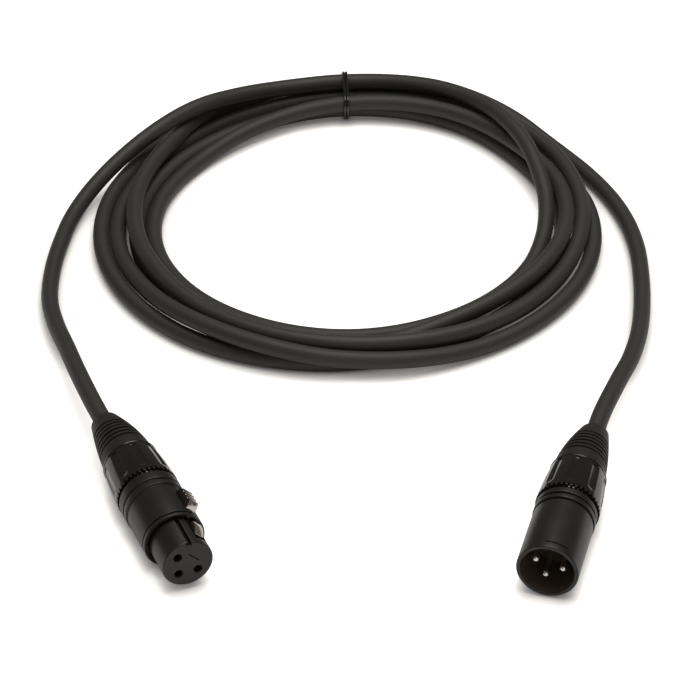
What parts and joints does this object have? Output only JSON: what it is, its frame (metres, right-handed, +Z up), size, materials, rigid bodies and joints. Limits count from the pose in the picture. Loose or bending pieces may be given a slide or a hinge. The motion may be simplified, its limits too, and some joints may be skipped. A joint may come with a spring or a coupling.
{
  "type": "xlr cable coil",
  "caption": "Coiled and tied balanced audio cable with a latching three-pole socket and a three-pin plug on its two ends.",
  "frame": {"origin": "on the surface that the cable lies on, under the middle of the box round the connectors and the tie", "axes": "+Z up, -Y towards the two connectors, +X towards the plug, +Y towards the tie at the back of the coil"},
  "size_m": [0.2168, 0.3151, 0.0208],
  "materials": {
    "jacket": "matt black flexible jacket",
    "black_satin": "satin black coating on die-cast metal",
    "gloss_plastic": "glossy black",
    "rubber": "matt black",
    "insert_plastic": "dark, fine-grained",
    "chrome": "polished",
    "silver": "silver-plated, bright",
    "clamp_plastic": "dark grey moulding",
    "core_screen": "twisted screen wire",
    "core_red": "red insulation",
    "core_white": "white insulation",
    "tie": "glossy black band"
  },
  "bodies": {
    "cable": {"cable_coil": "jacket", "cable_tail_female": "jacket", "cable_tail_male": "jacket", "coil_tie": "tie", "female_boot": "rubber", "female_chuck": "clamp_plastic", "female_contact_1": "silver", "female_contact_2": "silver", "female_contact_3": "silver", "female_core_1": "core_screen", "female_core_2": "core_red", "female_core_3": "core_white", "female_insert": "insert_plastic", "female_jacket_end": "jacket", "female_latch_pin": "silver", "female_latch_spring": "silver", "female_nut": "gloss_plastic", "female_shell": "black_satin", "male_boot": "rubber", "male_chuck": "clamp_plastic", "male_core_1": "core_screen", "male_core_2": "core_red", "male_core_3": "core_white", "male_insert": "insert_plastic", "male_jacket_end": "jacket", "male_nut": "gloss_plastic", "male_pin_1": "silver", "male_pin_2": "silver", "male_pin_3": "silver", "male_shell": "black_satin"},
    "latch": {"female_latch": "chrome"}
  },
  "joints": [
    {"name": "latch_press", "type": "hinge", "parent": "cable", "child": "latch", "pos_m": [-0.05367, -0.12551, 0.01533], "axis": [0.6509, 0.2763, -0.7071], "range_deg": [0, 3.5], "stiffness_Nm_per_rad": 0.1, "springref_deg": -5.73}
  ]
}
